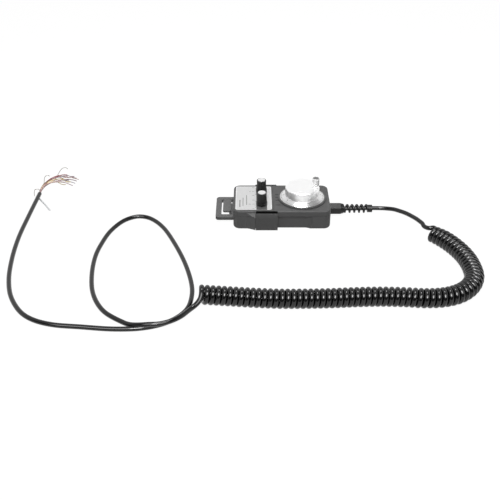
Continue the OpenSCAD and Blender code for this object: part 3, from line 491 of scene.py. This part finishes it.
def extruded_jacket(name, colour):
    """Glossy polyurethane jacket, extruded: sharp highlights dulled here and there by dust, and
    a faint ripple along it."""
    material, tree = new_material(name)
    ripple = noise(tree, 4, 2.0)
    rough = map_range(tree, noise(tree, 0.9, 5.0), 0.35, 0.75, 0.06, 0.13)
    principled(tree, {"Base Color": colour, "IOR": 1.5},
               {"Roughness": rough, "Normal": relief(tree, 0.10, 0.05, ripple)})
    return material


def core_insulation(name, near, far, start, end):
    """PVC core insulation, whose colour turns from one end of the core to the other."""
    material, tree = new_material(name)
    place = add_node(tree, "ShaderNodeTexCoord")
    axes = add_node(tree, "ShaderNodeSeparateXYZ", None, {0: place.outputs["Object"]})
    run = map_range(tree, axes.outputs["X"], start * MM, end * MM)
    shade = blend(tree, run, srgb(near), srgb(far))
    principled(tree, {"Roughness": 0.4, "IOR": 1.5}, {"Base Color": shade})
    return material


def stranded_wire(name, colour):
    """Tinned copper strands: a dull metal with twisted streaks."""
    material, tree = new_material(name)
    place = add_node(tree, "ShaderNodeTexCoord")
    strands = add_node(tree, "ShaderNodeTexWave",
                       {"wave_type": "BANDS", "bands_direction": "DIAGONAL",
                        "Scale": 1 / (1.2 * MM), "Distortion": 1.0},
                       {"Vector": place.outputs["Object"]})
    principled(tree, {"Base Color": srgb(colour), "Metallic": 0.85, "Roughness": 0.42},
               {"Normal": relief(tree, 0.5, 0.08, strands.outputs["Fac"])})
    return material


# ---- Stage ----

# What the soft box adds to the brightness of the walls
SOFT_BOX_LEVEL = 6.5


class HANDWHEEL_OT_stage(bpy.types.Operator):
    """Camera, pale floor and soft lamps"""
    bl_idname = "handwheel.stage"
    bl_label = "Stage"

    def execute(self, context):
        studio = context.scene.handwheel_studio
        scene = context.scene
        scene.view_settings.view_transform = "Standard"
        self.camera(scene)
        self.floor()
        self.world(scene, studio.world_level)
        self.lamp("key_lamp", (-0.1, -1.0, 0.95), (0.0, -0.08, 0), 0.3, studio.key_power)
        self.lamp("ceiling_lamp", (0.0, 0.05, 1.25), (0.0, 0.0, 0), 0.4, studio.ceiling_power)
        return {"FINISHED"}

    def camera(self, scene):
        pitch = math.radians(33.34)
        data = bpy.data.cameras.new("camera")
        data.sensor_width = 36.0
        data.lens = 55.98
        data.clip_end = 20.0
        camera = bpy.data.objects.new("camera", data)
        camera.location = (-0.0307, -0.9224, 0.5496)
        camera.rotation_euler = (math.radians(90) - pitch, 0, 0)
        scene.collection.objects.link(camera)
        scene.camera = camera

    def seen_rays(self, tree):
        """1 for what the eye sees, directly or in metal and glass, and 0 for what only lights."""
        path = add_node(tree, "ShaderNodeLightPath").outputs
        direct = calculate(tree, "MAXIMUM", path["Is Camera Ray"], path["Is Glossy Ray"])
        return calculate(tree, "MAXIMUM", direct, path["Is Transmission Ray"])

    def floor(self):
        """White card that stays white to the eye and in reflections, and keeps a faint shadow."""
        material, tree = new_material("white_card")
        matt = add_node(tree, "ShaderNodeBsdfDiffuse", {"Color": srgb("808080")})
        dim = add_node(tree, "ShaderNodeBsdfDiffuse", {"Color": srgb("585858")})
        glow = add_node(tree, "ShaderNodeEmission", {"Color": (1, 1, 1, 1), "Strength": 0.96})
        bright = add_node(tree, "ShaderNodeAddShader", None, {0: dim, 1: glow})
        mixed = add_node(tree, "ShaderNodeMixShader", None,
                         {0: self.seen_rays(tree), 1: matt, 2: bright})
        finish_surface(tree, mixed)
        half = 4.0
        data = bpy.data.meshes.new("floor")
        data.from_pydata([(-half, -half, 0), (half, -half, 0), (half, half, 0), (-half, half, 0)],
                         [], [(0, 1, 2, 3)])
        data.materials.append(material)
        floor = bpy.data.objects.new("floor", data)
        bpy.context.scene.collection.objects.link(floor)

    def world(self, scene, level):
        """White walls, greyer where they curve into the ceiling, most so at the right; behind the
        viewer the room is dark down to the floor, but for a tall soft box above the viewer."""
        world = bpy.data.worlds.new("studio")
        world.use_nodes = True
        tree = world.node_tree
        tree.nodes.clear()
        out = add_node(tree, "ShaderNodeOutputWorld")
        place = add_node(tree, "ShaderNodeTexCoord")
        axes = add_node(tree, "ShaderNodeSeparateXYZ", None, {0: place.outputs["Generated"]})
        x, y, z = axes.outputs
        height = add_node(tree, "ShaderNodeValToRGB", None, {0: z})
        ramp = height.color_ramp
        for element, position in zip(ramp.elements, (0.0, 1.0)):
            element.position = position
            element.color = (0, 0, 0, 1)
        for position, grey in ((0.5, 0.0), (0.62, 0.3), (0.72, 0.9), (0.93, 1.0), (0.97, 0.5)):
            ramp.elements.new(position).color = (grey, grey, grey, 1)
        right = map_range(tree, x, -0.15, 0.25, 0.2, 0.62)
        walls = calculate(tree, "SUBTRACT", 1.0, calculate(tree, "MULTIPLY", height, right))
        front = map_range(tree, y, -0.45, -0.05, 0.12, 1.0)
        room = calculate(tree, "MULTIPLY", walls, front)
        sides = map_range(tree, calculate(tree, "ABSOLUTE", x), 0.6, 0.45)
        bottom = map_range(tree, z, 0.5, 0.6)
        ahead = map_range(tree, y, -0.3, -0.4)
        soft_box = calculate(tree, "MULTIPLY", calculate(tree, "MULTIPLY", sides, bottom), ahead)
        lit = calculate(tree, "MULTIPLY_ADD", soft_box, SOFT_BOX_LEVEL, room)
        pure = (1, 1, 1, 1)
        unseen = add_node(tree, "ShaderNodeBackground", {"Color": pure, "Strength": level})
        mirrored = add_node(tree, "ShaderNodeBackground", {"Color": pure}, {"Strength": lit})
        white = add_node(tree, "ShaderNodeBackground", {"Color": pure, "Strength": 1.0})
        path = add_node(tree, "ShaderNodeLightPath")
        seen = add_node(tree, "ShaderNodeMixShader", None,
                        {0: self.seen_rays(tree), 1: unseen, 2: mirrored})
        mixed = add_node(tree, "ShaderNodeMixShader", None,
                         {0: path.outputs["Is Camera Ray"], 1: seen, 2: white})
        tree.links.new(mixed.outputs[0], out.inputs["Surface"])
        scene.world = world

    def lamp(self, name, place, target, size, power):
        data = bpy.data.lights.new(name, "AREA")
        data.shape = "SQUARE"
        data.size = size
        data.energy = power
        lamp = bpy.data.objects.new(name, data)
        lamp.location = place
        lamp.rotation_euler = (Vector(target) - Vector(place)).to_track_quat("-Z", "Y").to_euler()
        bpy.context.scene.collection.objects.link(lamp)


# ---- Cable ----

def wound_cord(axis, radius, pitch, start, run_in, narrow, first_phase, last_phase, lean):
    """Points of a cord wound left-handed around a level path, and how far each is widened. It
    comes in beside the path, bends over into its first turn along the run-in, and its turns lie
    over more and more towards the far end. The first turns are narrower and rest on the floor."""
    # Spacing of the run-in's points, and the length over which the first turns widen
    step = 1.2
    narrow_length = 30
    steps_per_turn = 24
    # How far to both sides the path's direction is measured
    reach = 3
    along = np.cumsum([0.0] + [float(np.linalg.norm(b - a)) for a, b in zip(axis, axis[1:])])
    columns = np.array(axis).T
    flat = math.atan2(pitch, 2 * math.pi * radius)
    places, s, phase = [], start, first_phase
    count = round(run_in / step)
    for k in range(count):
        bend = (k / count) ** 2 * (3 - 2 * k / count)
        places.append((s, phase, bend))
        angle = math.pi / 2 + (flat - math.pi / 2) * bend
        s += step * math.sin(angle)
        phase -= step * math.cos(angle) / (radius * narrow)
    wound = along[-1] - s
    spare = (phase - last_phase) / (2 * math.pi)
    turns = round(wound / pitch - spare) + spare
    count = round(turns * steps_per_turn)
    places += [(s + wound * k / count, phase - 2 * math.pi * turns * k / count, 1.0)
               for k in range(count + 1)]
    points = []
    for s, phase, width in places:
        centre, behind, ahead = (np.array([np.interp(s + d, along, c) for c in columns])
                                 for d in (0, -reach, reach))
        t = unit(ahead - behind)
        side = np.array([-t[1], t[0], 0.0])
        # Upright for the first two fifths, and in full lean at the end
        tilt = lean * min(max(1.8 * s / along[-1] - 0.7, 0), 1)
        slip = tilt * (math.cos(phase) + 0.4 * math.sin(phase))
        r = radius * min(narrow + (1 - narrow) * s / narrow_length, 1)
        points.append(centre + r * (math.cos(phase) * side - slip * t)
                      + (r * math.sin(phase) + r - radius) * np.array([0, 0, 1]))
    return points, [width for s, phase, width in places]


class HANDWHEEL_OT_cable(bpy.types.Operator):
    """The cable: lead, curl and tail in one length"""
    bl_idname = "handwheel.cable"
    bl_label = "Cable"

    def execute(self, context):
        cable = context.scene.handwheel_cable
        material = extruded_jacket("extruded_polyurethane",
                                   srgb("".join(f"{round(255 * c):02x}" for c in cable.jacket_colour)))
        radius = (cable.curl_diameter - cable.diameter * (1 + cable.swell)) / 2 / MM
        wound, widths = wound_cord(
            smooth_path(CURL_ROUTE, ROUTE_STEP), radius, cable.pitch / MM, start=3.0, run_in=12.6,
            narrow=0.84, first_phase=math.radians(110), last_phase=math.radians(45), lean=0.28)
        lead = smooth_path(LEAD_ROUTE, ROUTE_STEP)
        tail = smooth_path(TAIL_ROUTE, TAIL_STEP)
        into = bridge(lead, wound, FINE_STEP)
        out = bridge(wound, tail, FINE_STEP)
        points = lead + into + wound + out + tail
        swell = [0.0] * len(lead + into) + [cable.swell * width for width in widths]
        swell += [cable.swell * (1 - k / len(out)) for k in range(len(out))] + [0.0] * len(tail)
        piece = curve_piece("curly_cord", points, cable.diameter, material, "housing",
                            swell=swell)
        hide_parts("lead_in_cable", "curly_cable", "cable_tail")
        return {"FINISHED"}


def core_route(k):
    """Route of one core: out of the jacket, along the bundle in one of its three layers, then
    to its tip."""
    lay = 1.4
    lean = (CORE_TIPS[k][0] - CORE_MIDDLE[0], CORE_TIPS[k][1] - CORE_MIDDLE[1])
    layer = CORE_Z + 1.2 * (k % 3)
    sway = 1.6 * (-1) ** k
    turn = math.radians(137 * k)
    start = (CORE_BUNDLE[0][0] + lay * math.cos(turn), CORE_BUNDLE[0][1],
             TAIL_ROUTE[-1][2] + lay * math.sin(turn))
    middle = [(x + fan * lean[0], y + fan * lean[1], layer)
              for (x, y), fan in zip(CORE_BUNDLE[1:], CORE_FAN[1:])]
    tip = (*CORE_TIPS[k], CORE_Z)
    bent = (0.4 * middle[-1][0] + 0.6 * tip[0], 0.4 * middle[-1][1] + 0.6 * tip[1] + sway, CORE_Z)
    return [start] + middle + [bent, tip]


class HANDWHEEL_OT_cores(bpy.types.Operator):
    """Bare cores, the drain wires and the shield"""
    bl_idname = "handwheel.cores"
    bl_label = "Cores"

    def execute(self, context):
        cable = context.scene.handwheel_cable
        for k, colours in enumerate(CORE_COLOURS):
            material = core_insulation(f"core_pvc_{k + 1}", *colours, *CORE_TURN_X)
            points = smooth_path(core_route(k), FINE_STEP)
            piece = curve_piece(f"core_{k + 1}", points, cable.core_diameter, material,
                                "housing", rounds=3)
            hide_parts("core_wires")
        strand = stranded_wire("tinned_copper_strand", "b9b6b2")
        braid = stranded_wire("tinned_copper_braid", "dcdee0")
        for k, route in enumerate(SHIELD_ROUTES):
            thick, material = (BRAID_WIDTH, braid) if k == BRAID else (1.0, strand)
            points = smooth_path([(x, y, CORE_Z * thick) for x, y in route], FINE_STEP)
            diameter = cable.core_diameter * thick
            piece = curve_piece(f"drain_{k + 1}", points, diameter, material,
                                "housing", rounds=3)
            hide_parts("shield_wires")
        return {"FINISHED"}


# ---- Case and label ----

class HANDWHEEL_OT_case(bpy.types.Operator):
    """Shells, hanger, buttons and screws"""
    bl_idname = "handwheel.case"
    bl_label = "Case"

    def execute(self, context):
        case = moulded_abs("moulded_abs_dark_grey", "565656")
        hanger = moulded_abs("moulded_abs_hanger", "6a6a6a")
        button = moulded_abs("moulded_abs_button", "4c4c4c")
        seal = smooth_plastic("moulded_silicone_seal", "3c3c3c", 0.6)
        screw = plain_metal("zinc_plated_steel", "b4b4b2", 0.34)
        for name in ("rear_shell", "front_shell"):
            dress(name, case)
        dress("hanger_loop", hanger)
        for name in ("left_button", "right_button"):
            dress(name, button)
        dress("shell_gasket", seal)
        for name in ("case_screws", "hanger_screws", "board_screws", "encoder_screws",
                     "dial_screws", "knob_set_screw", "axis_switch_nut", "range_switch_nut"):
            dress(name, screw)
        self.panel_marks()
        self.button_seals()
        return {"FINISHED"}

    def button_seals(self):
        """Black sheet behind each enable button: a painted shadow that makes its pocket read dark."""
        shade_black = smooth_plastic("painted_shade_black", "060606", 0.7, 1.2)
        # Gap at both ends of the button, and how far down the black sheet reaches
        gap = 0.4
        depth = 6
        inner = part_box("label_plate")[1].y / MM + 3.4
        outer = inner + 1.45
        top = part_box("front_shell")[1].z / MM + 0.02
        for name in ("left_button", "right_button"):
            low, high = (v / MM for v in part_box(name))
            side = 1 if low.y > 0 else -1
            outline = [(low.x + gap, side * inner), (high.x - gap, side * inner),
                       (high.x - gap, side * outer), (low.x + gap, side * outer)]
            if side < 0:
                outline.reverse()
            # Painted shadow: the black sheets, named left_seal and right_seal, stand in for the shade in
            # the pockets
            mesh_piece(name.replace("button", "seal"), *prisms([outline], high.z - depth, top),
                       shade_black, "housing", "case_plastic")

    def panel_marks(self):
        """Plain raised bars between the label and the wheel, in charcoal: painted shade that stands for
        the shade of the marks moulded there.
        """
        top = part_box("front_shell")[1].z / MM
        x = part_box("label_plate")[1].x / MM + 8.3
        bars = [stroke(x, y, length=6.4, width=1.5, angle=0) for y in (9.5, 1.5, -6.5, -19)]
        # Painted shade: the bars' near-black colour
        mesh_piece("panel_bars", *prisms(bars, top - 0.02, top + 0.06),
                   printed_ink("painted_shade_charcoal", "161616"), "housing", "case_plastic")


class HANDWHEEL_OT_label(bpy.types.Operator):
    """Label plate with its border, band, scales and plain numbers"""
    bl_idname = "handwheel.label"
    bl_label = "Label"

    def execute(self, context):
        label = context.scene.handwheel_label
        dress("label_plate", anodised_label("anodised_aluminium_sheet", "e6e6e6"))
        low, high = (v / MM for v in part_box("label_plate"))
        top = high.z
        bright = printed_ink("ink_white", "ffffff")
        band = printed_ink("ink_grey", "5c5c5c")
        dark = printed_ink("ink_black", "3c3c3c")
        inset = 0.1
        corner = 2.9
        width = label.border / MM
        x0, x1, y0, y1 = low.x + inset, high.x - inset, low.y + inset, high.y - inset
        outer = rounded_outline(x0, x1, y0, y1, corner)
        inner = rounded_outline(x0 + width, x1 - width, y0 + width, y1 - width, corner - width)
        mesh_piece("label_border", *frame_prism(outer, inner, top, top + 0.03), bright,
                   "housing", "label_aluminium")
        shaft_low, shaft_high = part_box("axis_shaft")
        shaft = (shaft_low + shaft_high) / 2 / MM
        half = label.band / MM / 2
        across = [(shaft.x - half, -y1), (shaft.x + half, -y1), (shaft.x + half, y1), (shaft.x - half, y1)]
        mesh_piece("label_band", *prisms([across], top - 0.01, top + 0.035), band,
                   "housing", "label_aluminium")
        self.scales(shaft, top, dark, label.print_height / MM)
        return {"FINISHED"}

    def scales(self, shaft, top, ink, height):
        """Ticks and numbers for the places of both selectors, and three plain rules."""
        tick_r = 11.2
        number_r = 15.6
        outlines, numbers = [], []
        for centre_y, angles in ((shaft.y, (270, 225, 180, 135, 90)), (-shaft.y, (225, 180, 135))):
            for value, angle in enumerate(angles):
                a = math.radians(angle)
                outlines.append(stroke(shaft.x + tick_r * math.cos(a), centre_y + tick_r * math.sin(a),
                                       length=2.6, width=0.5, angle=angle))
                x = shaft.x + number_r * math.cos(a)
                y = centre_y + number_r * math.sin(a)
                # No number on the band or between the two selectors
                if abs(y - centre_y) > 15 or abs(y) < 1.5:
                    continue
                vertices, faces = number_mesh(value, height)
                numbers.append(([(x - v[1], y + v[0], top + 0.03 + v[2]) for v in vertices], faces))
        groups = [prisms(outlines, top, top + 0.04)] + numbers
        mesh_piece("label_scales", *gather(groups), ink, "housing", "label_aluminium")
        rules = [stroke(x, (y0 + y1) / 2, length=y1 - y0, width=width, angle=90)
                 for x, y0, y1, width in ((-44.3, -25, -6, 1.3), (-40.1, -22, 0, 0.9),
                                          (-35.3, -19.5, 7.6, 0.9))]
        mesh_piece("label_rules", *prisms(rules, top, top + 0.04),
                   printed_ink("ink_pale_grey", "909090"), "housing", "label_aluminium")


# ---- Wheel, selectors, gland and inner pieces ----

class HANDWHEEL_OT_wheel(bpy.types.Operator):
    """Dial, knob and finger grip"""
    bl_idname = "handwheel.wheel"
    bl_label = "Wheel"

    def execute(self, context):
        dial = context.scene.handwheel_dial
        low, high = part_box("graduated_dial")
        axis = ((low.x + high.x) / 2, 0, 0)
        dress("graduated_dial", turned_metal("turned_chrome_plate", "e2e2e2", 0.2, axis,
                                             ring=0.5, depth=0.06))
        dress("knob_wheel", turned_metal("anodised_aluminium_satin", "ffffff", 0.33, axis,
                                         ring=0.4, depth=0.08, metal=0.8))
        grip_low, grip_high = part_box("finger_grip")
        grip_axis = (grip_low + grip_high) / 2
        radius = (grip_high.x - grip_low.x) / 2 / MM
        # The grey is the painted shade of the grip's end face
        dress("finger_grip", knurled_metal("knurled_nickel_plate", "f0f0f0", "8c8c8c",
                                           (grip_axis.x, 0, 0), radius, grip_high.z))
        dress("grip_pin", plain_metal("ground_pin_steel", "8a8a8a", 0.45))
        dress("bezel_ring", moulded_abs("moulded_abs_bezel", "565656", roughness=0.42))
        self.graduations(dial, low / MM, high / MM)
        return {"FINISHED"}

    def graduations(self, dial, low, high):
        """Lines and plain numbers on the cone."""
        centre_x = (low.x + high.x) / 2
        outer_r = (high.x - low.x) / 2
        # The cone rises from the top of the rim to the foot of the knob
        inner_r = 23.3
        edge_z = low.z + 1.3
        slope = math.atan2(high.z - edge_z, outer_r - inner_r)
        line_start = 0.5
        number_start = 5.6
        groups = []
        width = dial.line / MM / 2
        for k in range(dial.graduations):
            length = 3.6 if k % 10 == 0 else 2.8 if k % 5 == 0 else 2.0
            a = 2 * math.pi * k / dial.graduations
            corners = []
            for along, lift in ((line_start, 0.0), (line_start, 0.03),
                                (line_start + length, 0.03), (line_start + length, 0.0)):
                r = outer_r - along * math.cos(slope) + lift * math.sin(slope)
                z = edge_z + along * math.sin(slope) + lift * math.cos(slope)
                for side in (-width, width):
                    corners.append((centre_x + r * math.cos(a) - side * math.sin(a),
                                    r * math.sin(a) + side * math.cos(a), z))
            groups.append((corners, [[0, 2, 3, 1], [2, 4, 5, 3], [4, 6, 7, 5], [6, 0, 1, 7],
                                     [0, 6, 4, 2], [1, 3, 5, 7]]))
        for k in range(10):
            a = 2 * math.pi * k / 10
            vertices, faces = number_mesh(10 * k, 1.5)
            placed = []
            for x, y, z in vertices:
                along = number_start + y
                r = outer_r - along * math.cos(slope) + (z + 0.02) * math.sin(slope)
                height = edge_z + along * math.sin(slope) + (z + 0.02) * math.cos(slope)
                turn = a - math.pi + x / r
                placed.append((centre_x - r * math.cos(turn), -r * math.sin(turn), height))
            groups.append((placed, faces))
        mesh_piece("dial_graduations", *gather(groups), printed_ink("ink_engraved_black", "2c2c2c"),
                   "wheel", "dial_chrome")


class HANDWHEEL_OT_selectors(bpy.types.Operator):
    """Selector knobs and their caps"""
    bl_idname = "handwheel.selectors"
    bl_label = "Selectors"

    def execute(self, context):
        knob = moulded_abs("moulded_phenolic_black", "1d1d1d", roughness=0.38, grain=0.4, depth=0.06)
        cap = smooth_plastic("moulded_abs_white", "fcfcfc", 0.3)
        for name in ("axis_knob", "range_knob"):
            dress(name, knob)
        for name in ("axis_knob_cap", "range_knob_cap"):
            dress(name, cap)
        return {"FINISHED"}


class HANDWHEEL_OT_gland(bpy.types.Operator):
    """Cable gland with its spiral strain relief"""
    bl_idname = "handwheel.gland"
    bl_label = "Gland"

    def execute(self, context):
        nylon = smooth_plastic("moulded_polyamide_black", "121212", 0.34, 1.42)
        for name in ("gland_body", "gland_nut", "gland_locknut"):
            dress(name, nylon)
        dress("gland_seal", smooth_plastic("moulded_neoprene", "1c1c1c", 0.6))
        return {"FINISHED"}


class HANDWHEEL_OT_inside(bpy.types.Operator):
    """Encoder, switches and boards inside the case"""
    bl_idname = "handwheel.inside"
    bl_label = "Inside"

    def execute(self, context):
        black = moulded_abs("moulded_pbt_black", "1e1e1e")
        board = smooth_plastic("lacquered_laminate_green", "1f5a34", 0.35)
        terminal = moulded_abs("moulded_polyamide_green", "2e7a48", grain=0.4)
        steel = plain_metal("ground_steel", "b8b8b6", 0.25)
        for name in ("encoder_housing", "encoder_cover", "encoder_reader", "axis_switch",
                     "range_switch", "left_microswitch", "right_microswitch"):
            dress(name, black)
        for name in ("main_board", "encoder_board"):
            dress(name, board)
        dress("terminal_block", terminal)
        for name in ("wheel_shaft", "axis_shaft", "range_shaft", "upper_bearing",
                     "lower_bearing", "encoder_disc"):
            dress(name, steel)
        return {"FINISHED"}


# ---- Panel and running ----

class HANDWHEEL_PT_panel(bpy.types.Panel):
    """Steps that finish the handwheel"""
    bl_label = "Handwheel"
    bl_space_type = "VIEW_3D"
    bl_region_type = "UI"
    bl_category = "Handwheel"

    def draw(self, context):
        for step in STEPS:
            self.layout.operator(step.bl_idname)
        for group in ("cable", "label", "dial", "studio"):
            settings = getattr(context.scene, "handwheel_" + group)
            for name in settings.__annotations__:
                self.layout.prop(settings, name)


SETTINGS = {"cable": HandwheelCable, "label": HandwheelLabel, "dial": HandwheelDial,
            "studio": HandwheelStudio}
STEPS = (HANDWHEEL_OT_stage, HANDWHEEL_OT_cable, HANDWHEEL_OT_cores, HANDWHEEL_OT_case,
         HANDWHEEL_OT_label, HANDWHEEL_OT_wheel, HANDWHEEL_OT_selectors, HANDWHEEL_OT_gland,
         HANDWHEEL_OT_inside)


def register():
    for name, group in SETTINGS.items():
        bpy.utils.register_class(group)
        setattr(bpy.types.Scene, "handwheel_" + name, bpy.props.PointerProperty(type=group))
    for step in STEPS:
        bpy.utils.register_class(step)
    bpy.utils.register_class(HANDWHEEL_PT_panel)


def unregister():
    bpy.utils.unregister_class(HANDWHEEL_PT_panel)
    for step in reversed(STEPS):
        bpy.utils.unregister_class(step)
    for name, group in reversed(SETTINGS.items()):
        delattr(bpy.types.Scene, "handwheel_" + name)
        bpy.utils.unregister_class(group)


def main():
    register()
    for step in STEPS:
        area, name = step.bl_idname.split(".")
        getattr(getattr(bpy.ops, area), name)()


if __name__ == "__main__":
    main()
